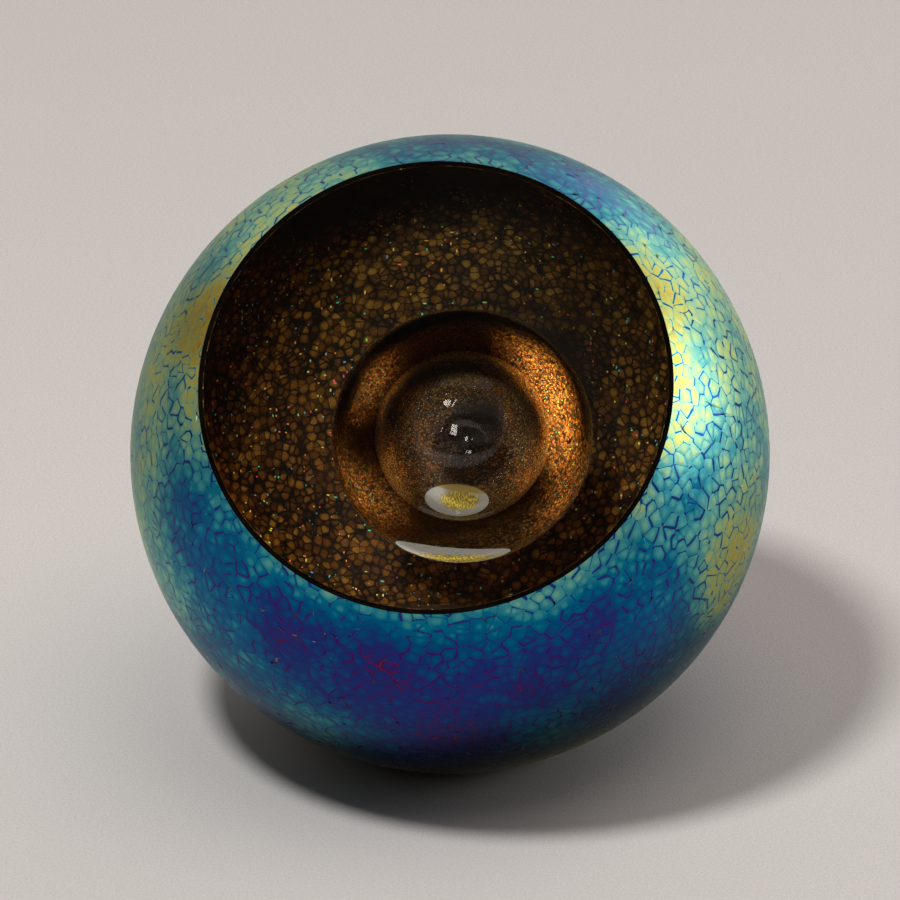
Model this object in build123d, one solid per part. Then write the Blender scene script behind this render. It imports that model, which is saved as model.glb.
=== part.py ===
from build123d import *
import math
import os

# A solid hand-made glass orb. It is built up in gathers and layers of glass that are fused to one
# another while hot: a first gather blown round one large air bubble, a clear casing gathered over
# it, a thin layer of dark glass broken into cells, and an iridescent lustre skin. A large window is
# cut flat and polished on the upper front, and a small foot is cut flat and polished underneath.
#
# Frame: the origin is the centre of the polished foot, +Z is up, and the window faces -Y and up.

# Driving dimensions, in millimetres and degrees
orb_diameter = 100.0
foot_diameter = 40.0
window_diameter = 73.0
window_tilt = 45.0              # between the window's outward normal and the vertical
skin_thickness = 0.2
cell_layer_thickness = 0.4
bubble_diameter = 40.7
gather_wall = 8.0               # glass between the bubble and the outside of the first gather
bubble_offset_x = 2.7           # the bubble's centre, from the centre of the orb
bubble_offset_z = -0.9

# Derived sizes and places
orb_radius = orb_diameter / 2
cell_layer_radius = orb_radius - skin_thickness
casing_radius = cell_layer_radius - cell_layer_thickness
bubble_radius = bubble_diameter / 2
gather_radius = bubble_radius + gather_wall
centre_height = math.sqrt(orb_radius**2 - (foot_diameter / 2) ** 2)
window_distance = math.sqrt(orb_radius**2 - (window_diameter / 2) ** 2)

orb_centre = Pos(0, 0, centre_height)
bubble_centre = orb_centre * Pos(bubble_offset_x, 0, bubble_offset_z)


def foot_block():
    """Everything below the plane of the foot."""
    return Pos(0, 0, -orb_diameter / 2) * Box(2 * orb_diameter, 2 * orb_diameter, orb_diameter)


def window_block():
    """Everything in front of the plane of the window."""
    block = Pos(0, 0, window_distance + orb_diameter / 2) * Box(2 * orb_diameter, 2 * orb_diameter, orb_diameter)
    return orb_centre * Rot(window_tilt, 0, 0) * block


def ground_flat(blown):
    """A blown shape after its foot and its window have been ground flat."""
    return blown - foot_block() - window_block()


def ball(radius):
    """A ball round the orb's centre."""
    return orb_centre * Sphere(radius)


def lustre_skin():
    """The iridescent outer skin."""
    return ground_flat(ball(orb_radius) - ball(cell_layer_radius))


def cell_layer():
    """The dark layer under the skin, which shows from inside as cells."""
    return ground_flat(ball(cell_layer_radius) - ball(casing_radius))


def first_gather():
    """The first gather's outer shape."""
    return bubble_centre * Sphere(gather_radius)


def clear_casing():
    """The clear glass gathered over the first gather, which holds the window and the foot."""
    return ground_flat(ball(casing_radius)) - first_gather()


def bubble_gather():
    """The first gather, with the air bubble in it."""
    return first_gather() - bubble_centre * Sphere(bubble_radius)


nodes = {
    "lustre_skin": lustre_skin,
    "cell_layer": cell_layer,
    "clear_casing": clear_casing,
    "bubble_gather": bubble_gather,
}

os.makedirs("parts", exist_ok=True)
for name, make in nodes.items():
    export_step(make(), f"parts/{name}.step")
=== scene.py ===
import math

import bmesh
import bpy
import numpy as np
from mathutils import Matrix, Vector


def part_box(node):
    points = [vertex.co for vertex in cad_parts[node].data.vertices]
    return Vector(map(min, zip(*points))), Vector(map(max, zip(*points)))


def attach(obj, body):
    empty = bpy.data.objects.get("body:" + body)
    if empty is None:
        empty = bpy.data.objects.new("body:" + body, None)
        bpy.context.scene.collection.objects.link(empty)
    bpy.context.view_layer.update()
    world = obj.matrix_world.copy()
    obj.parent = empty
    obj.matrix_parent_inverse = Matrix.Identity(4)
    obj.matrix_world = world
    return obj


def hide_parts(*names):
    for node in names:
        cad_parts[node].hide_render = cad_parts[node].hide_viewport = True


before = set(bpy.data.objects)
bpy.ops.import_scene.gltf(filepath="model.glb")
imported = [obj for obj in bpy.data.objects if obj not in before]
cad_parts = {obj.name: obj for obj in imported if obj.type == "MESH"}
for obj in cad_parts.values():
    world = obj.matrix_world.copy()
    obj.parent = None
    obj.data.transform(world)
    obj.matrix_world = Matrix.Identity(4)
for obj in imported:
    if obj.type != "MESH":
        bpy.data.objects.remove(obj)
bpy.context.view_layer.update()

# ---------------------------------------------------------------- sizes, in metres and degrees
MM = 0.001
FOOT_RADIUS = 20 * MM
WINDOW_RADIUS = 36.5 * MM
WINDOW_TILT = 45
SKIN_THICKNESS = 0.2 * MM
CELL_LAYER_THICKNESS = 0.4 * MM
GATHER_WALL = 8 * MM
GLASS_IOR = 1.5

skin_low, skin_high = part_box("lustre_skin")
gather_low, gather_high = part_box("bubble_gather")
ORB_RADIUS = (skin_high.x - skin_low.x) / 2
BUBBLE_RADIUS = (gather_high.x - gather_low.x) / 2 - GATHER_WALL
BUBBLE_CENTRE = (gather_low + gather_high) / 2
ORB_CENTRE = Vector((0, 0, math.sqrt(ORB_RADIUS**2 - FOOT_RADIUS**2)))
CELL_LAYER_RADIUS = ORB_RADIUS - SKIN_THICKNESS
CASING_RADIUS = CELL_LAYER_RADIUS - CELL_LAYER_THICKNESS
WINDOW_NORMAL = Vector((0, -math.sin(math.radians(WINDOW_TILT)), math.cos(math.radians(WINDOW_TILT))))
WINDOW_POINT = ORB_CENTRE + WINDOW_NORMAL * math.sqrt(ORB_RADIUS**2 - WINDOW_RADIUS**2)
CUTS = ((WINDOW_POINT, WINDOW_NORMAL), (Vector((0, 0, 0)), Vector((0, 0, -1))))

# The crackled cells: how many go round the whole ball, how far their centres stray, in cell widths, and how
# far they rise.
CELL_COUNT = 7600
CELL_SEED = 11
CELL_JITTER = 0.32
CELL_DOME = 0.003 * MM
# Their cracks: the share that stays closed, the depth and the usual width, and as shares of that width,
# the narrowest one and what the widest one adds.
CLOSED_SHARE = 0.22
GROOVE_DEPTH = 0.004 * MM
GROOVE_WIDTH = 0.2 * MM
NARROW_CRACK = 0.25
WIDE_CRACK_ADDS = 2.1
# How open a crack counts as in its middle and at its ends: its opening to these powers.
MIDDLE_POWER = 0.5
END_POWER = 0.3
# Along each side of a cell, where its ring has corners, and how far towards its centre they may move.
RING_SHARES = (0.22, 0.78)
LARGEST_INSET = 0.45
# The reach that the points in the grooves get, well past that of any point of a cell.
GROOVE_REACH = 2.0

# The gap that the cell layer keeps from the skin and from the casing, so that no surfaces touch.
SHELL_GAP = 0.03 * MM
# How many rings each smooth ball has.
SHELL_INSIDE_RINGS = 96
CELL_LAYER_RINGS = 120
BUBBLE_RINGS = 128
# How near to a plane a point is in it, when cutting and when looking for the rim of the cut.
CUT_TOLERANCE = 1e-9
RIM_TOLERANCE = 1e-6
# The places of the casing's two materials in its list, and of the cut rim's in a shell's list.
CLEAR_FACE, ROUND_WALL = 0, 1
CUT_RIM = 1


def direction(azimuth, elevation):
    """The unit vector towards a place at that azimuth and elevation. Azimuth 0 is -Y, 90 is +X."""
    a, e = math.radians(azimuth), math.radians(elevation)
    return Vector((math.sin(a) * math.cos(e), -math.cos(a) * math.cos(e), math.sin(e)))


# ---------------------------------------------------------------- meshes
def cell_centres():
    """Points spread evenly over the unit sphere along a spiral, then moved about at random."""
    rng = np.random.default_rng(CELL_SEED)
    turn = np.arange(CELL_COUNT) * math.pi * (3 - math.sqrt(5))
    z = 1 - 2 * (np.arange(CELL_COUNT) + 0.5) / CELL_COUNT
    ring = np.sqrt(1 - z * z)
    points = np.stack([ring * np.cos(turn), ring * np.sin(turn), z], 1)
    points += rng.normal(0, CELL_JITTER * math.sqrt(4 * math.pi / CELL_COUNT), points.shape)
    return points / np.linalg.norm(points, axis=1, keepdims=True)


def faces_in_turn(v):
    """The faces round one corner of a closed mesh, each next to the one before."""
    found = []
    face = v.link_faces[0]
    while face not in found:
        found.append(face)
        loop = next(loop for loop in face.loops if loop.vert == v)
        face = loop.link_loop_prev.link_loop_radial_next.face
    return found


def cells_round(points):
    """The Voronoi cells of points on the unit sphere: their corners, and each cell's corners in order."""
    hull = bmesh.new()
    for p in points:
        hull.verts.new(p)
    bmesh.ops.convex_hull(hull, input=hull.verts)
    hull.faces.index_update()
    # The normal of each triangle of the hull, turned outwards, points at a corner that three cells share.
    corners = np.array([f.normal for f in hull.faces])
    corners *= np.sign(np.einsum("ij,ij->i", corners, [f.verts[0].co for f in hull.faces]))[:, None]
    cells = [(np.array(v.co), [f.index for f in faces_in_turn(v)]) for v in hull.verts if v.link_faces]
    hull.free()
    return corners, cells


def unit(v):
    """The vector of length 1 in the direction of v."""
    return v / math.sqrt(v @ v)


class CellPattern:
    """The cells on the unit sphere, made once for the skin's outside and the casing's round wall."""

    def __init__(self):
        rng = np.random.default_rng(CELL_SEED)
        corners, cells = cells_round(cell_centres())
        self.points = list(corners)
        self.level = ["groove"] * len(corners)
        self.gap = [0.0] * len(corners)
        self.reach = [GROOVE_REACH] * len(corners)
        self.faces = []
        self.tone = []
        edge_mid = {}
        edge_inset = {}
        for axis, loop in cells:
            cell_tone = rng.random()
            ring = []
            grooves = []
            for a, b in zip(loop, loop[1:] + loop[:1]):
                key = (min(a, b), max(a, b))
                if key not in edge_mid:
                    opening = max(0.0, (rng.random() - CLOSED_SHARE) / (1 - CLOSED_SHARE))
                    middle = unit(corners[a] + corners[b])
                    edge_mid[key] = self.add(middle, "groove", opening**MIDDLE_POWER, GROOVE_REACH)
                    widths = NARROW_CRACK + WIDE_CRACK_ADDS * opening**2
                    edge_inset[key] = GROOVE_WIDTH / ORB_RADIUS * widths
                    for end in key:
                        self.gap[end] = max(self.gap[end], opening**END_POWER)
                for share in RING_SHARES:
                    p = corners[a] * (1 - share) + corners[b] * share
                    toward = axis - p
                    p = p + toward * min(LARGEST_INSET, edge_inset[key] / math.sqrt(toward @ toward))
                    ring.append(self.add(unit(p), "ring", 0.0, math.sqrt(toward @ toward)))
                grooves.append((a, edge_mid[key], b))
            # In terms of the cell's nearest ring corner, so that large and small cells shade alike.
            nearest = min(self.reach[i] for i in ring)
            for i in ring:
                self.reach[i] /= nearest
            centre = self.add(axis, "centre", 0.0, 0.0)
            n = len(loop)
            for i in range(n):
                a, mid, b = grooves[i]
                near, far = ring[2 * i], ring[2 * i + 1]
                after = ring[(2 * i + 2) % (2 * n)]
                self.faces += [(a, mid, near), (near, mid, far), (mid, b, far), (far, b, after)]
                self.faces += [(near, far, centre), (far, after, centre)]
            self.tone += [cell_tone] * (len(self.faces) - len(self.tone))
        self.points = np.array(self.points)

    def add(self, point, level, gap, reach):
        """Adds a point. Gap is how open the crack is there, and reach how far the cell's centre is."""
        self.points.append(point)
        self.level.append(level)
        self.gap.append(gap)
        self.reach.append(reach)
        return len(self.points) - 1

    def mesh(self, radius, groove, dome):
        """The pattern as a mesh of that radius, with its grooves cut in and its cells' centres raised."""
        height = {"groove": radius - groove, "ring": radius, "centre": radius + dome}
        points = self.points * np.array([height[level] for level in self.level])[:, None]
        mesh = bpy.data.meshes.new("cells")
        mesh.from_pydata((points + np.array(ORB_CENTRE)).tolist(), [], self.faces)
        mesh.attributes.new("gap", "FLOAT", "POINT").data.foreach_set("value", self.gap)
        mesh.attributes.new("reach", "FLOAT", "POINT").data.foreach_set("value", self.reach)
        mesh.attributes.new("tone", "FLOAT", "FACE").data.foreach_set("value", self.tone)
        return mesh


def ball_mesh(radius, centre, rings):
    """A smooth ball made of rings of square faces, with a triangle fan at each pole."""
    turns = 2 * rings
    points = [centre + Vector((0, 0, radius)), centre - Vector((0, 0, radius))]
    top, bottom, first = 0, 1, 2
    faces = []
    for i in range(1, rings):
        polar = math.pi * i / rings
        for j in range(turns):
            turn = 2 * math.pi * j / turns
            across = math.sin(polar)
            arm = Vector((across * math.cos(turn), across * math.sin(turn), math.cos(polar)))
            points.append(centre + arm * radius)
    for j in range(turns):
        after = (j + 1) % turns
        faces.append((top, first + j, first + after))
        last = first + (rings - 2) * turns
        faces.append((bottom, last + after, last + j))
        for i in range(rings - 2):
            row = first + i * turns
            faces.append((row + j, row + turns + j, row + turns + after, row + after))
    mesh = bpy.data.meshes.new("ball")
    mesh.from_pydata(points, [], faces)
    return mesh


def cut_flat(bm):
    """Cuts away what is in front of the window and below the foot."""
    for point, normal in CUTS:
        bmesh.ops.bisect_plane(
            bm,
            geom=bm.verts[:] + bm.edges[:] + bm.faces[:],
            dist=CUT_TOLERANCE,
            plane_co=point,
            plane_no=normal,
            clear_outer=True,
        )


def new_piece(name, bm, materials):
    """Makes an object of a mesh in progress, with its materials in their slots."""
    mesh = bpy.data.meshes.new(name)
    bm.to_mesh(mesh)
    bm.free()
    piece = bpy.data.objects.new(name, mesh)
    bpy.context.scene.collection.objects.link(piece)
    for m in materials:
        mesh.materials.append(m)
    return piece


def rim_loops(bm, point, normal):
    """The loops of open edges in one plane, each as its corners in order, anticlockwise from angle 0."""
    side = normal.orthogonal().normalized()
    other = normal.cross(side)
    bm.edges.index_update()
    in_plane = {v for v in bm.verts if abs((v.co - point).dot(normal)) < RIM_TOLERANCE}
    rim = {e for e in bm.edges if e.is_boundary and in_plane.issuperset(e.verts)}
    loops = []
    while rim:
        edge = min(rim, key=lambda e: e.index)
        rim.remove(edge)
        edge.smooth = False
        start, v = edge.verts
        loop = [start]
        while v != start:
            loop.append(v)
            edge = next(e for e in v.link_edges if e in rim)
            rim.remove(edge)
            edge.smooth = False
            v = edge.other_vert(v)
        arms = [v.co - ORB_CENTRE for v in loop]
        angles = [math.atan2(arm.dot(other), arm.dot(side)) for arm in arms]
        first = angles.index(min(angles))
        loop = loop[first:] + loop[:first]
        angles = angles[first:] + angles[:first]
        if angles[1] > angles[-1]:
            loop = loop[:1] + loop[:0:-1]
            angles = angles[:1] + angles[:0:-1]
        loops.append(list(zip(angles, loop)))
    return loops


def close_face(bm, point, normal):
    """Closes the one loop of open edges in a plane with a flat face."""
    (loop,) = rim_loops(bm, point, normal)
    face = bm.faces.new([v for _, v in loop])
    face.smooth = True
    face.material_index = CLEAR_FACE


def close_rim(bm, point, normal):
    """Joins the outer and the inner loop of open edges in one plane with a strip of triangles."""
    loops = rim_loops(bm, point, normal)
    inner, outer = sorted(loops, key=lambda loop: (loop[0][1].co - ORB_CENTRE).length)
    outer.append((outer[0][0] + 2 * math.pi, outer[0][1]))
    inner.append((inner[0][0] + 2 * math.pi, inner[0][1]))
    i = j = 0
    while i < len(outer) - 1 or j < len(inner) - 1:
        if j == len(inner) - 1 or (i < len(outer) - 1 and outer[i + 1][0] < inner[j + 1][0]):
            face = bm.faces.new((outer[i][1], outer[i + 1][1], inner[j][1]))
            i += 1
        else:
            face = bm.faces.new((outer[i][1], inner[j + 1][1], inner[j][1]))
            j += 1
        face.material_index = CUT_RIM


def make_casing(pattern, glass, wall):
    """The clear glass: a window and a foot of clear glass, and a round wall that shows the cells."""
    bm = bmesh.new()
    bm.from_mesh(pattern.mesh(CASING_RADIUS, 0, 0))
    for f in bm.faces:
        f.smooth = True
        f.material_index = ROUND_WALL
    cut_flat(bm)
    for point, normal in CUTS:
        close_face(bm, point, normal)
    bmesh.ops.recalc_face_normals(bm, faces=bm.faces)
    return new_piece("clear_casing_glass", bm, [glass, wall])


def make_shell(name, outer, inner_radius, materials):
    """A closed shell between an outer mesh and a smooth inner ball, cut flat at the window and foot."""
    bm = bmesh.new()
    bm.from_mesh(outer)
    cut_flat(bm)
    inner = bmesh.new()
    inner.from_mesh(ball_mesh(inner_radius, ORB_CENTRE, SHELL_INSIDE_RINGS))
    cut_flat(inner)
    bmesh.ops.reverse_faces(inner, faces=inner.faces)
    # A mesh in progress takes in another one only by way of a finished mesh.
    held = bpy.data.meshes.new("held")
    inner.to_mesh(held)
    inner.free()
    bm.from_mesh(held)
    bpy.data.meshes.remove(held)
    for f in bm.faces:
        f.smooth = True
    for point, normal in CUTS:
        close_rim(bm, point, normal)
    bmesh.ops.recalc_face_normals(bm, faces=bm.faces)
    return new_piece(name, bm, materials)


def make_bubble(glass):
    """The wall of the air bubble, facing into the bubble."""
    bm = bmesh.new()
    bm.from_mesh(ball_mesh(BUBBLE_RADIUS, BUBBLE_CENTRE, BUBBLE_RINGS))
    for f in bm.faces:
        f.smooth = True
    bmesh.ops.recalc_face_normals(bm, faces=bm.faces)
    bmesh.ops.reverse_faces(bm, faces=bm.faces)
    return new_piece("air_bubble", bm, [glass])


# ---------------------------------------------------------------- materials
class Nodes:
    """Builds one material's node tree: every call adds a node and returns its output."""

    def __init__(self, name):
        self.material = bpy.data.materials.new(name)
        self.material.use_nodes = True
        self.tree = self.material.node_tree
        self.shader = self.tree.nodes["Principled BSDF"]

    def put(self, socket, value):
        """Links another node's output to the socket, or sets the socket to a plain value."""
        if isinstance(value, bpy.types.NodeSocket):
            self.tree.links.new(value, socket)
        elif value is not None:
            socket.default_value = value

    def shade(self, **values):
        """Sets the shader's inputs by name, with _ for each space."""
        for name, value in values.items():
            self.put(self.shader.inputs[name.replace("_", " ")], value)

    def attribute(self, name):
        node = self.tree.nodes.new("ShaderNodeAttribute")
        node.attribute_name = name
        return node.outputs["Fac"]

    def place(self):
        return self.tree.nodes.new("ShaderNodeTexCoord").outputs["Object"]

    def math(self, operation, a, b=None, c=None):
        node = self.tree.nodes.new("ShaderNodeMath")
        node.operation = operation
        for socket, value in zip(node.inputs, (a, b, c)):
            self.put(socket, value)
        return node.outputs[0]

    def vector_math(self, operation, a, b, output="Vector", third=None, scale=None):
        node = self.tree.nodes.new("ShaderNodeVectorMath")
        node.operation = operation
        for socket, value in zip(node.inputs, (a, b, third, scale)):
            self.put(socket, value)
        return node.outputs[output]

    def channel(self, colour, number=0):
        node = self.tree.nodes.new("ShaderNodeSeparateColor")
        self.put(node.inputs["Color"], colour)
        return node.outputs[number]

    def spread(self, value, low, high, to_low=0.0, to_high=1.0):
        """Takes the range from low to high, in a smooth step, to the range from to_low to to_high."""
        node = self.tree.nodes.new("ShaderNodeMapRange")
        node.interpolation_type = "SMOOTHSTEP"
        settings = {"Value": value, "From Min": low, "From Max": high, "To Min": to_low, "To Max": to_high}
        for name, item in settings.items():
            self.put(node.inputs[name], item)
        return node.outputs["Result"]

    def noise(self, place, per_metre, detail=2.0, roughness=0.5, output="Fac"):
        node = self.tree.nodes.new("ShaderNodeTexNoise")
        self.put(node.inputs["Vector"], place)
        self.put(node.inputs["Scale"], per_metre)
        self.put(node.inputs["Detail"], detail)
        self.put(node.inputs["Roughness"], roughness)
        return node.outputs[output]

    def voronoi(self, place, per_metre, output="Distance", feature="F1"):
        node = self.tree.nodes.new("ShaderNodeTexVoronoi")
        node.feature = feature
        self.put(node.inputs["Vector"], place)
        self.put(node.inputs["Scale"], per_metre)
        return node.outputs[output]

    def mix(self, share, a, b, kind="MIX"):
        """Blends colour b into colour a by share, in the way that kind names."""
        node = self.tree.nodes.new("ShaderNodeMix")
        node.data_type = "RGBA"
        node.blend_type = kind
        self.put(node.inputs["Factor"], share)
        self.put(node.inputs["A"], a)
        self.put(node.inputs["B"], b)
        return node.outputs["Result"]

    def ramp(self, value, stops, interpolation="LINEAR"):
        node = self.tree.nodes.new("ShaderNodeValToRGB")
        node.color_ramp.interpolation = interpolation
        elements = node.color_ramp.elements
        for at, colour in stops[1:-1]:
            elements.new(at).color = (*colour, 1)
        elements[0].position, elements[-1].position = stops[0][0], stops[-1][0]
        elements[0].color, elements[-1].color = (*stops[0][1], 1), (*stops[-1][1], 1)
        self.put(node.inputs["Fac"], value)
        return node.outputs["Color"]

    def bump(self, height, distance, strength):
        node = self.tree.nodes.new("ShaderNodeBump")
        self.put(node.inputs["Height"], height)
        self.put(node.inputs["Distance"], distance)
        self.put(node.inputs["Strength"], strength)
        return node.outputs["Normal"]

    def facing(self, place):
        """The unit vector from the orb's centre to each point of the surface."""
        arm = self.vector_math("SUBTRACT", place, ORB_CENTRE)
        return self.vector_math("NORMALIZE", arm, None)

    def spots(self, facing, base, places):
        """A value that is base everywhere, and changes by each place's amount within its reach."""
        value = base
        for azimuth, elevation, reach, amount in places:
            near = self.vector_math("DOT_PRODUCT", facing, direction(azimuth, elevation), "Value")
            share = self.spread(near, math.cos(math.radians(reach)), 1.0, 0.0, amount)
            value = self.math("ADD", share, value)
        return value


CLEAR_GLASS_TINT = (1, 0.97, 0.9)
BUBBLE_GLASS_TINT = (1, 1, 1)


def glass_material(name, tint):
    n = Nodes(name)
    n.shade(Base_Color=(*tint, 1), Roughness=0.0, IOR=GLASS_IOR, Transmission_Weight=1.0)
    return n.material


# The colours of the lustre film as it gets thicker, over one turn of its interference colours. Where
# the film is in that turn is its phase, from 0 to 1.
FILM_COLOURS = (
    (0.00, (0.62, 0.50, 0.08)),
    (0.10, (0.50, 0.58, 0.20)),
    (0.20, (0.17, 0.46, 0.38)),
    (0.32, (0.004, 0.20, 0.32)),
    (0.45, (0.008, 0.065, 0.24)),
    (0.58, (0.035, 0.025, 0.19)),
    (0.70, (0.11, 0.012, 0.07)),
    (0.84, (0.42, 0.09, 0.015)),
    (1.00, (0.62, 0.50, 0.08)),
)
# Where the film is thinner or thicker: azimuth, elevation, reach and change of phase.
FILM_PLACES = (
    (78, 34, 36, -0.16),
    (68, -4, 22, -0.16),
    (54, 17, 12, 0.03),
    (52, 9, 11, -0.06),
    (66, -10, 14, -0.08),
    (110, 46, 18, -0.08),
    (-54, -14, 12, -0.07),
    (27, -5, 13, 0.09),
    (40, -18, 24, 0.09),
    (102, 4, 26, -0.10),
    (107, 61, 24, 0.08),
    (180, 82, 26, 0.09),
    (6, -20, 24, 0.15),
    (-18, -14, 20, 0.13),
    (-10, -7, 10, 0.08),
    (-38, -1, 22, 0.08),
    (-62, 28, 22, -0.10),
    (-80, 4, 28, -0.13),
    (-88, 42, 30, -0.13),
    (-24, -34, 12, -0.04),
    (-2, -44, 20, 0.12),
    (180, 40, 60, -0.16),
    (150, -10, 50, 0.18),
    (-140, -20, 40, 0.15),
)
# What else moves the film's phase: a slow drift, the window's edge, each cell's own tone, the cell's rim,
# and the cracks, which jump further where the film is thin than where it is thick.
BASE_PHASE = 0.30
DRIFT_PER_METRE = 60
DRIFT_PHASE = 0.42
WINDOW_EDGE_PHASE = -0.12
CELL_TONE_PHASE = 0.06
CELL_RIM_PHASE = 0.05
CRACK_PHASE_WHERE_THIN = 0.34
CRACK_PHASE_WHERE_THICK = 0.17
THIN_PHASE = 0.2
THICK_PHASE = 0.5
# Where the window's edge starts to show and shows in full, as the cosine of the angle to the window.
WINDOW_EDGE_STARTS = 0.50
WINDOW_EDGE_FULL = 0.68
# Painted shade on the film, where it is darker: azimuth, elevation, reach and change of brightness.
PAINTED_SHADE_PLACES = (
    (38, -40, 34, -0.45),
    (70, -12, 24, -0.4),
    (-74, 20, 36, -0.35),
    (-68, 38, 14, -0.25),
)
# Painted shade near the foot, where the orb meets the floor: how bright the film is there, and the heights,
# in radii above the centre, where that changes.
FOOT_PAINTED_SHADE = 0.1
FOOT_SHADE_FULL = -0.97
FOOT_SHADE_ENDS = -0.35

# The amber cells, seen from inside through the glass: rounded pebbles, with gaps that are narrow in some
# patches and wide in others, in shares of a pebble's width.
PEBBLES_PER_METRE = 740
SWAYS_PER_METRE = 400
PEBBLE_SWAY = 0.5 * MM
PATCHES_PER_METRE = 220
NARROW_GAP = 0.06
WIDE_GAP = 0.24
GAP_COLOUR = (0.0015, 0.001, 0.0005, 1)
# Mottling and each pebble's own tone choose its colour, and fine grain dims it.
MOTTLE_PER_METRE = 900
MOTTLE_SHARE = 0.5
TONE_SHARE = 0.6
GRAIN_PER_METRE = 3200
AMBER_COLOURS = (
    (0.2, (0.03, 0.011, 0.001)),
    (0.5, (0.11, 0.045, 0.005)),
    (0.75, (0.21, 0.10, 0.012)),
    (0.95, (0.31, 0.18, 0.025)),
)
AMBER_TINT = (1.0, 0.9, 0.75, 1)
OLIVE_TINT = (0.95, 1.05, 0.75, 1)
# Where the amber turns to olive: azimuth, elevation, reach and share.
OLIVE_PLACES = ((172, 5, 60, 1.0),)
# Painted shadow: where the wall is darker, behind the bubble and up behind the window's rim, in the same
# terms.
PAINTED_SHADOW_PLACES = (
    (172, -28, 26, -0.85),
    (-170, 26, 24, -1.0),
    (-145, 22, 22, -1.0),
    (-120, 4, 18, -0.9),
    (160, 24, 22, -0.6),
    (143, -12, 28, -0.35),
    (163, 0, 24, -0.35),
)

# The small bright glints, painted on as flecks of bright colour: the share of spots that have one, their
# size as a share of the spots' spacing, and for each layer of them the factors on its coordinates, which
# lengthen the glints, and its shift.
PAINTED_GLINTS_PER_METRE = 2100
PAINTED_GLINT_SHARE = 0.038
PAINTED_GLINT_SIZE = 0.27
PAINTED_GLINT_LAYERS = (((1, 1, 0.35), 0.0), ((0.35, 1, 1), 0.3), ((1, 0.35, 0.8), 0.7))
PAINTED_GLINT_COLOURS = (
    (0.00, (1.0, 0.10, 0.25)),
    (0.25, (1.0, 0.45, 0.06)),
    (0.45, (0.9, 0.95, 0.12)),
    (0.70, (0.12, 1.0, 0.45)),
    (0.95, (0.12, 0.5, 1.0)),
)

DARK_GLASS_COLOURS = ((0.35, (0.002, 0.0015, 0.001)), (0.7, (0.008, 0.005, 0.003)))

# The paper of the stage.
PAPER_COLOURS = ((0.3, (0.53, 0.51, 0.485)), (0.7, (0.70, 0.675, 0.65)))
PAPER_GRAIN_PER_METRE = 2600
PAPER_CLOUDS_PER_METRE = 1.2
PAPER_GRAIN_SHARE = 0.7
PAPER_CLOUDS_SHARE = 0.3

# The paper under the foot: brown from this far back, and ribbed gold, painted glints, round this place.
FOOT_BACKWARDS = (0.15, 1, 0)
FOOT_BACK = 11.5 * MM
FOOT_BACK_FULL = 13 * MM
FOOT_GLINT_PLACE = (2 * MM, 3 * MM, 0)
FOOT_GLINT_RADIUS = 7 * MM
FOOT_GLINT_ENDS = 14 * MM
FOOT_GREY = (0.5, 0.47, 0.43, 1)
FOOT_BROWN = (0.42, 0.30, 0.07, 1)
FOOT_GLINT_GOLD = ((0.26, 0.17, 0.03, 1), (0.98, 0.75, 0.03, 1))
RIBS_PER_METRE = 1300
RIB_FACTORS = (1, 0.25, 1)


def film_phase(n, place, facing, gap):
    """The film's phase: it drifts over the ball, differs from cell to cell and jumps along the cracks."""
    phase = n.spots(facing, BASE_PHASE, FILM_PLACES)
    drift = n.noise(place, DRIFT_PER_METRE, detail=4.0, roughness=0.6)
    phase = n.math("MULTIPLY_ADD", n.math("SUBTRACT", drift, 0.5), DRIFT_PHASE, phase)
    near_window = n.vector_math("DOT_PRODUCT", facing, WINDOW_NORMAL, "Value")
    window_edge = n.spread(near_window, WINDOW_EDGE_STARTS, WINDOW_EDGE_FULL)
    phase = n.math("MULTIPLY_ADD", window_edge, WINDOW_EDGE_PHASE, phase)
    tone = n.math("SUBTRACT", n.attribute("tone"), 0.5)
    phase = n.math("MULTIPLY_ADD", tone, CELL_TONE_PHASE, phase)
    cell_rim = n.spread(n.attribute("reach"), 0.3, 1.2)
    phase = n.math("MULTIPLY_ADD", cell_rim, CELL_RIM_PHASE, phase)
    jump = n.spread(phase, THIN_PHASE, THICK_PHASE, CRACK_PHASE_WHERE_THIN, CRACK_PHASE_WHERE_THICK)
    jump = n.math("MULTIPLY", n.spread(gap, 0.1, 0.9), jump)
    return n.math("FRACT", n.math("ADD", jump, phase))


def film_painted_shade(n, facing):
    """Painted shade on the film: darker in its painted shade places, and darker towards the foot."""
    height = n.vector_math("DOT_PRODUCT", facing, (0, 0, 1), "Value")
    painted_foot_shade = n.spread(height, FOOT_SHADE_FULL, FOOT_SHADE_ENDS, FOOT_PAINTED_SHADE, 1.0)
    return n.math("MULTIPLY", painted_foot_shade, n.spots(facing, 1.0, PAINTED_SHADE_PLACES))


def lustre_material():
    """The iridised skin: a metal-like film over the cells, rougher in the middle of each cell."""
    n = Nodes("lustre")
    place = n.place()
    facing = n.facing(place)
    gap = n.attribute("gap")
    colour = n.ramp(film_phase(n, place, facing, gap), FILM_COLOURS, "CARDINAL")
    # Painted shade: the film is darkened in places and towards the foot.
    colour = n.mix(1.0, colour, film_painted_shade(n, facing), "MULTIPLY")
    n.shade(
        Base_Color=colour,
        Metallic=1.0,
        Roughness=n.spread(gap, 0.0, 1.0, 0.4, 0.18),
        Specular_Tint=(0.8, 0.8, 0.7, 1),
        Sheen_Weight=0.15,
        Sheen_Roughness=0.22,
        Sheen_Tint=(0.9, 0.75, 0.5, 1),
        Normal=n.bump(n.noise(place, 900, detail=3.0), 0.01 * MM, 0.5),
    )
    return n.material


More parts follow.
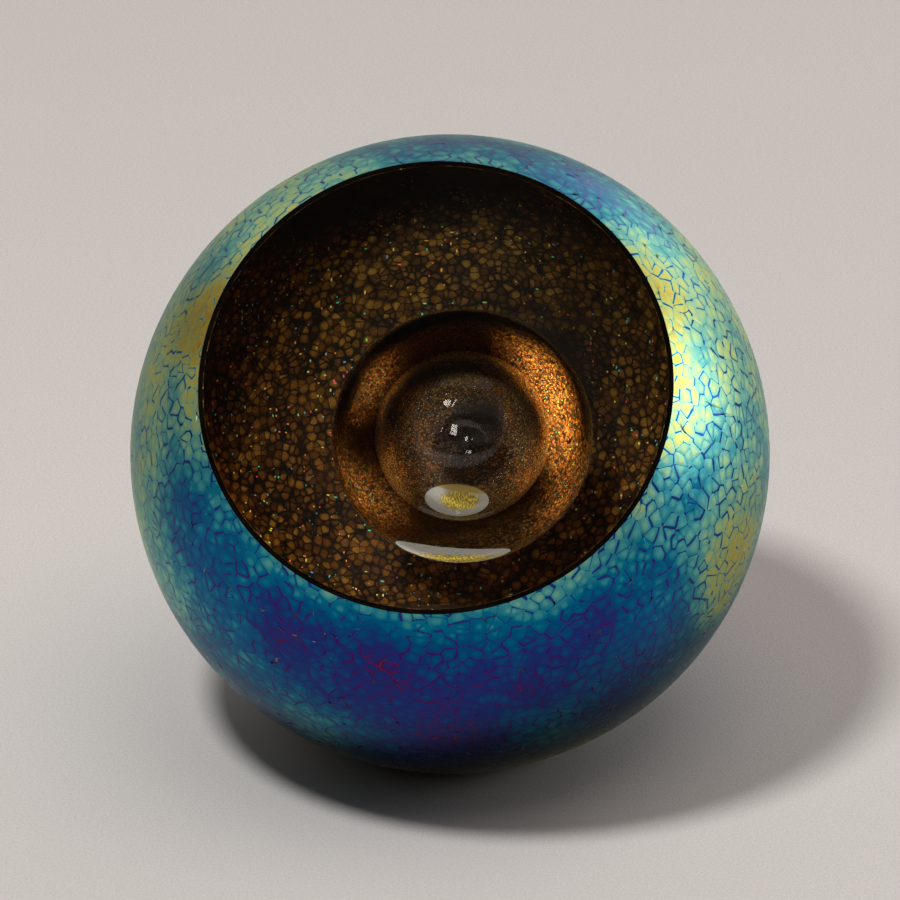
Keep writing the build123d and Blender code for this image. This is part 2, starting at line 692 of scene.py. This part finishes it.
def pebble_colour(n, place, facing, painted_light):
    """Packed amber pebbles, each with its own tone and with painted shade towards its edge, with dark gaps
    that are wide in some patches, and dimmed where shadow is painted.
    """
    mottle = n.noise(place, MOTTLE_PER_METRE, detail=3.0, roughness=0.6)
    sway = n.noise(place, SWAYS_PER_METRE, output="Color")
    swayed = n.vector_math("ADD", place, n.vector_math("SCALE", sway, None, scale=PEBBLE_SWAY))
    from_edge = n.voronoi(swayed, PEBBLES_PER_METRE, feature="DISTANCE_TO_EDGE")
    from_heart = n.voronoi(swayed, PEBBLES_PER_METRE)
    tone = n.channel(n.voronoi(swayed, PEBBLES_PER_METRE, "Color"))
    tone = n.math("MULTIPLY", tone, TONE_SHARE)
    amber = n.ramp(n.math("MULTIPLY_ADD", mottle, MOTTLE_SHARE, tone), AMBER_COLOURS)
    tint = n.mix(n.spots(facing, 0.0, OLIVE_PLACES), AMBER_TINT, OLIVE_TINT)
    amber = n.mix(1.0, amber, tint, "MULTIPLY")
    gap_width = n.spread(n.noise(place, PATCHES_PER_METRE), 0.35, 0.65, NARROW_GAP, WIDE_GAP)
    # Painted shade: each pebble darkens towards its edge so that it looks domed, and the whole is dimmed
    # where shadow is painted.
    rounded = n.math("MULTIPLY_ADD", n.math("SUBTRACT", mottle, 0.5), 0.3, from_heart)
    body = n.math("MULTIPLY", n.spread(from_edge, 0.01, gap_width), n.spread(rounded, 0.3, 0.75, 1.0, 0.2))
    body = n.math("MULTIPLY", body, painted_light)
    body = n.math("MULTIPLY", body, n.spread(n.noise(place, GRAIN_PER_METRE), 0.35, 0.65, 0.65, 1.1))
    return n.mix(body, GAP_COLOUR, amber)


def add_painted_glints(n, place, painted_light, colour):
    """Paints small bright glints over a colour, in layers that lengthen them in different directions."""
    for factors, shift in PAINTED_GLINT_LAYERS:
        squeezed = n.vector_math("MULTIPLY_ADD", place, factors, third=(shift, shift, shift))
        spot = n.voronoi(squeezed, PAINTED_GLINTS_PER_METRE, "Color")
        near = n.math("LESS_THAN", n.voronoi(squeezed, PAINTED_GLINTS_PER_METRE), PAINTED_GLINT_SIZE)
        glint = n.math("MULTIPLY", near, n.math("GREATER_THAN", n.channel(spot), 1 - PAINTED_GLINT_SHARE))
        glint = n.math("MULTIPLY", glint, painted_light)
        colour = n.mix(glint, colour, n.ramp(n.channel(spot, 1), PAINTED_GLINT_COLOURS, "CARDINAL"))
    return colour


def wall_material():
    """The cells as the clear glass shows them: packed amber pebbles, dark gaps, a few painted glints, and
    painted shadow behind the bubble and up behind the window.
    """
    n = Nodes("cells_through_glass")
    place = n.place()
    facing = n.facing(place)
    # Painted shadow on the wall, cast by the bubble and by the window's rim.
    painted_light = n.spots(facing, 1.0, PAINTED_SHADOW_PLACES)
    colour = add_painted_glints(n, place, painted_light, pebble_colour(n, place, facing, painted_light))
    n.shade(Base_Color=colour, Roughness=0.5, Metallic=0.1, Specular_IOR_Level=0.2)
    return n.material


def dark_glass_material():
    """Almost black glass, polished where the window cuts it."""
    n = Nodes("dark_glass")
    place = n.place()
    cloud = n.ramp(n.noise(place, 200, detail=3.0), DARK_GLASS_COLOURS)
    n.shade(Base_Color=cloud, Roughness=n.spread(n.noise(place, 900), 0.3, 0.7, 0.03, 0.07))
    return n.material


def foot_paper_material():
    """The paper as the glass foot shows it: grey, with ribbed gold painted glints in the middle and brown
    at the back.
    """
    n = Nodes("paper_through_foot")
    place = n.place()
    backwards = n.vector_math("DOT_PRODUCT", place, FOOT_BACKWARDS, "Value")
    ribs = n.noise(n.vector_math("MULTIPLY", place, RIB_FACTORS), RIBS_PER_METRE, detail=3.0, roughness=0.6)
    gold = n.mix(n.spread(ribs, 0.45, 0.6), *FOOT_GLINT_GOLD)
    from_gold = n.vector_math("DISTANCE", place, FOOT_GLINT_PLACE, "Value")
    colour = n.mix(n.spread(from_gold, FOOT_GLINT_RADIUS, FOOT_GLINT_ENDS, 0.95, 0.0), FOOT_GREY, gold)
    colour = n.mix(n.spread(backwards, FOOT_BACK, FOOT_BACK_FULL), colour, FOOT_BROWN)
    n.shade(Base_Color=colour, Roughness=0.9)
    return n.material


def paper_material():
    """Warm grey seamless paper, with a fine grain."""
    n = Nodes("paper")
    place = n.place()
    grain = n.noise(place, PAPER_GRAIN_PER_METRE, detail=3.0, roughness=0.6)
    clouds = n.noise(place, PAPER_CLOUDS_PER_METRE, detail=1.0)
    shade = n.math("MULTIPLY_ADD", clouds, PAPER_CLOUDS_SHARE, n.math("MULTIPLY", grain, PAPER_GRAIN_SHARE))
    colour = n.ramp(shade, PAPER_COLOURS)
    n.shade(Base_Color=colour, Roughness=0.9, Specular_IOR_Level=0.2, Normal=n.bump(grain, 0.15 * MM, 0.4))
    return n.material


# ---------------------------------------------------------------- stage
CAMERA_AZIMUTH = 5.3
CAMERA_ELEVATION = 27.35
CAMERA_DISTANCE = 30 * ORB_RADIUS
VIEW_WIDTH = 2.815 * ORB_RADIUS
AIM_ABOVE_CENTRE = 0.7 * MM
SENSOR = 36
FLOOR_SIZE = 3
FLOOR_DROP = 0.02 * MM
FOOT_PATCH_DROP = 0.01 * MM
WORLD_COLOUR = (1, 0.92, 0.86, 1)
# The world's brightness behind the window and in front of it, and where it goes from one to the other,
# as the cosine of the angle to the window's normal. A bright front would whiten the polished window.
WORLD_RANGE = {"From Min": -0.2, "From Max": 0.5, "To Min": 0.75, "To Max": 0.01}
FILL_COLOUR = (1, 0.855, 0.82)
# Where the main light is, and where the light is that comes straight in by the window.
KEY = direction(-46, 66)
FRONT = direction(-6, 41)
LINKED_LIGHT_DISTANCE = 1.2
# What the bubble mirrors: azimuth, elevation, width, height and radiance.
HIGHLIGHTS = {
    "front_panel": (-7.7, 34.8, 0.16, 0.3, 80),
    "front_strip": (-26.6, 31.1, 0.03, 0.16, 60),
    "top_strip": (-25.2, 69.8, 0.04, 0.22, 60),
}
# What comes in by the window: direction, size and power.
INNER_LIGHTS = {
    "key_inside": (KEY, 0.14, 7),
    "front_inside": (FRONT, 0.12, 9.2),
}
# Where the wall glows for the bubble's rim to mirror: azimuth, elevation and power.
GLOW_SIZE = 0.022
GLOW_RADIUS = 0.7 * ORB_RADIUS
GLOW_SPREAD = 150
GLOW_COLOUR = (1, 0.62, 0.25)
WALL_GLOWS = {
    "glow_right_back": (122, 34, 0.013),
    "glow_right_high": (102, 24, 0.030),
    "glow_right": (86, 4, 0.024),
    "glow_right_low": (92, -30, 0.010),
    "glow_left_low": (-60, -33, 0.007),
    "glow_left": (-92, -38, 0.008),
    "glow_left_high": (-106, 24, 0.008),
}


def make_camera():
    """A camera far off, at the photograph's angle, so that it sees the orb with hardly any perspective."""
    data = bpy.data.cameras.new("camera")
    data.sensor_width = SENSOR
    data.lens = SENSOR * CAMERA_DISTANCE / VIEW_WIDTH
    camera = bpy.data.objects.new("camera", data)
    bpy.context.scene.collection.objects.link(camera)
    back = direction(CAMERA_AZIMUTH, CAMERA_ELEVATION)
    aim = ORB_CENTRE + Vector((0, 0, AIM_ABOVE_CENTRE))
    camera.location = aim + back * CAMERA_DISTANCE
    camera.rotation_mode = "QUATERNION"
    camera.rotation_quaternion = (-back).to_track_quat("-Z", "Y")
    data.clip_start = 0.1
    data.clip_end = 20
    bpy.context.scene.camera = camera


def make_light(name, toward, distance, size, power, height=None, colour=(1, 1, 1)):
    """A soft light that faces the orb: a disk, or a rectangle where a height is given."""
    data = bpy.data.lights.new(name, "AREA")
    data.shape = "RECTANGLE" if height else "DISK"
    data.size = size
    if height:
        data.size_y = height
    data.energy = power
    data.color = colour
    light = bpy.data.objects.new(name, data)
    bpy.context.scene.collection.objects.link(light)
    light.location = ORB_CENTRE + toward * distance
    light.rotation_mode = "QUATERNION"
    light.rotation_quaternion = (-toward).to_track_quat("-Z", "Y")
    light.visible_camera = False
    return light


def refracted(toward):
    """The direction that light from there has once it is in the glass behind the window."""
    sideways = (toward - WINDOW_NORMAL * toward.dot(WINDOW_NORMAL)) / GLASS_IOR
    return sideways + WINDOW_NORMAL * math.sqrt(1 - sideways.length_squared)


def make_paper_under_foot():
    """The paper that the foot stands on, which light reaches only through the glass."""
    bm = bmesh.new()
    bmesh.ops.create_circle(bm, cap_ends=True, segments=64, radius=FOOT_RADIUS)
    patch = new_piece("paper_under_foot", bm, [foot_paper_material()])
    patch.location.z = -FOOT_PATCH_DROP
    return patch


def collection_of(name, pieces):
    """A collection of pieces, for a light to name as what it lights or what stops it."""
    group = bpy.data.collections.new(name)
    for piece in pieces:
        group.objects.link(piece)
    return group


def shine_only_on(light, pieces):
    light.light_linking.receiver_collection = collection_of(light.name + "_lights", pieces)


def make_highlight(name, toward, width, height, radiance, pieces):
    """A window-shaped light that only the bubble and the glass in front of it show."""
    power = radiance * math.pi * width * height
    light = make_light(name, toward, LINKED_LIGHT_DISTANCE, width, power, height=height)
    shine_only_on(light, pieces)


def make_inner_light(name, toward, size, power, lit, blockers):
    """Light that comes in by the window: it starts outside, along the path that it has in the glass."""
    light = make_light(name, refracted(toward), LINKED_LIGHT_DISTANCE, size, power)
    light.visible_transmission = False
    shine_only_on(light, lit)
    light.light_linking.blocker_collection = collection_of(name + "_stopped_by", blockers)


def make_wall_glow(name, toward, power, lit):
    """Warm light for the part of the wall that only the bubble's rim mirrors. It shines from inside."""
    light = make_light(name, toward, GLOW_RADIUS, GLOW_SIZE, power, colour=GLOW_COLOUR)
    light.rotation_quaternion = toward.to_track_quat("-Z", "Y")
    light.visible_transmission = False
    light.visible_glossy = False
    light.data.spread = math.radians(GLOW_SPREAD)
    shine_only_on(light, [lit])


def make_floor():
    bm = bmesh.new()
    bmesh.ops.create_grid(bm, x_segments=1, y_segments=1, size=FLOOR_SIZE)
    floor = new_piece("floor", bm, [paper_material()])
    floor.location.z = -FLOOR_DROP
    return floor


def make_world():
    """A world that is bright behind the window and dark in front of it."""
    world = bpy.data.worlds.new("world")
    world.use_nodes = True
    bpy.context.scene.world = world
    tree = world.node_tree
    look = tree.nodes.new("ShaderNodeTexCoord").outputs["Generated"]
    near = tree.nodes.new("ShaderNodeVectorMath")
    near.operation = "DOT_PRODUCT"
    near.inputs[1].default_value = WINDOW_NORMAL
    tree.links.new(look, near.inputs[0])
    strength = tree.nodes.new("ShaderNodeMapRange")
    strength.interpolation_type = "SMOOTHSTEP"
    for name, value in WORLD_RANGE.items():
        strength.inputs[name].default_value = value
    tree.links.new(near.outputs["Value"], strength.inputs["Value"])
    background = tree.nodes["Background"]
    background.inputs["Color"].default_value = WORLD_COLOUR
    tree.links.new(strength.outputs["Result"], background.inputs["Strength"])


def make_studio_lights(floor):
    """The main light, two panels at the right that the skin mirrors, and more light for the floor alone."""
    make_light("key", KEY, distance=1.2, size=0.2, power=9.3)
    fill = make_light("fill", direction(60, 75), distance=2.0, size=1.5, power=10, colour=FILL_COLOUR)
    shine_only_on(fill, [floor])
    make_light("right_panel", direction(106, 7), distance=0.9, size=0.6, power=2.7, height=0.5)
    make_light("right_back_panel", direction(155, 13), distance=0.9, size=0.5, power=0.8, height=0.4)


def light_the_glass(casing, bubble, skin, layer):
    """The lights that only the glass and the paper under it show."""
    for name, (azimuth, elevation, width, height, radiance) in HIGHLIGHTS.items():
        make_highlight(name, direction(azimuth, elevation), width, height, radiance, (bubble, casing))
    lit = (casing, make_paper_under_foot())
    for name, (azimuth, elevation, power) in WALL_GLOWS.items():
        make_wall_glow(name, direction(azimuth, elevation), power, casing)
    for name, (toward, size, power) in INNER_LIGHTS.items():
        make_inner_light(name, toward, size, power, lit, blockers=(skin, layer, bubble))


def set_up_light_paths():
    """Lets light go through all the glass. The linked lights stand for refractive caustics."""
    scene = bpy.context.scene
    scene.view_settings.view_transform = "Standard"
    scene.cycles.caustics_refractive = False
    scene.cycles.max_bounces = 24
    scene.cycles.transmission_bounces = 24
    scene.cycles.glossy_bounces = 12
    scene.cycles.diffuse_bounces = 4


# ---------------------------------------------------------------- the scene
set_up_light_paths()
make_camera()
floor = make_floor()
make_world()
make_studio_lights(floor)

pattern = CellPattern()
dark_glass = dark_glass_material()
casing = make_casing(pattern, glass_material("clear_glass", CLEAR_GLASS_TINT), wall_material())
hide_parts("clear_casing")
bubble = make_bubble(glass_material("bubble_glass", BUBBLE_GLASS_TINT))
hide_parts("bubble_gather")
cells = pattern.mesh(ORB_RADIUS - CELL_DOME, GROOVE_DEPTH, CELL_DOME)
skin = make_shell("lustre_skin_cells", cells, CELL_LAYER_RADIUS, [lustre_material(), dark_glass])
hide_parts("lustre_skin")
layer_outside = ball_mesh(CELL_LAYER_RADIUS - SHELL_GAP, ORB_CENTRE, CELL_LAYER_RINGS)
layer = make_shell("cell_layer_glass", layer_outside, CASING_RADIUS + SHELL_GAP, [dark_glass, dark_glass])
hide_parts("cell_layer")
for piece in (casing, bubble, skin, layer):
    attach(piece, "root")
light_the_glass(casing, bubble, skin, layer)
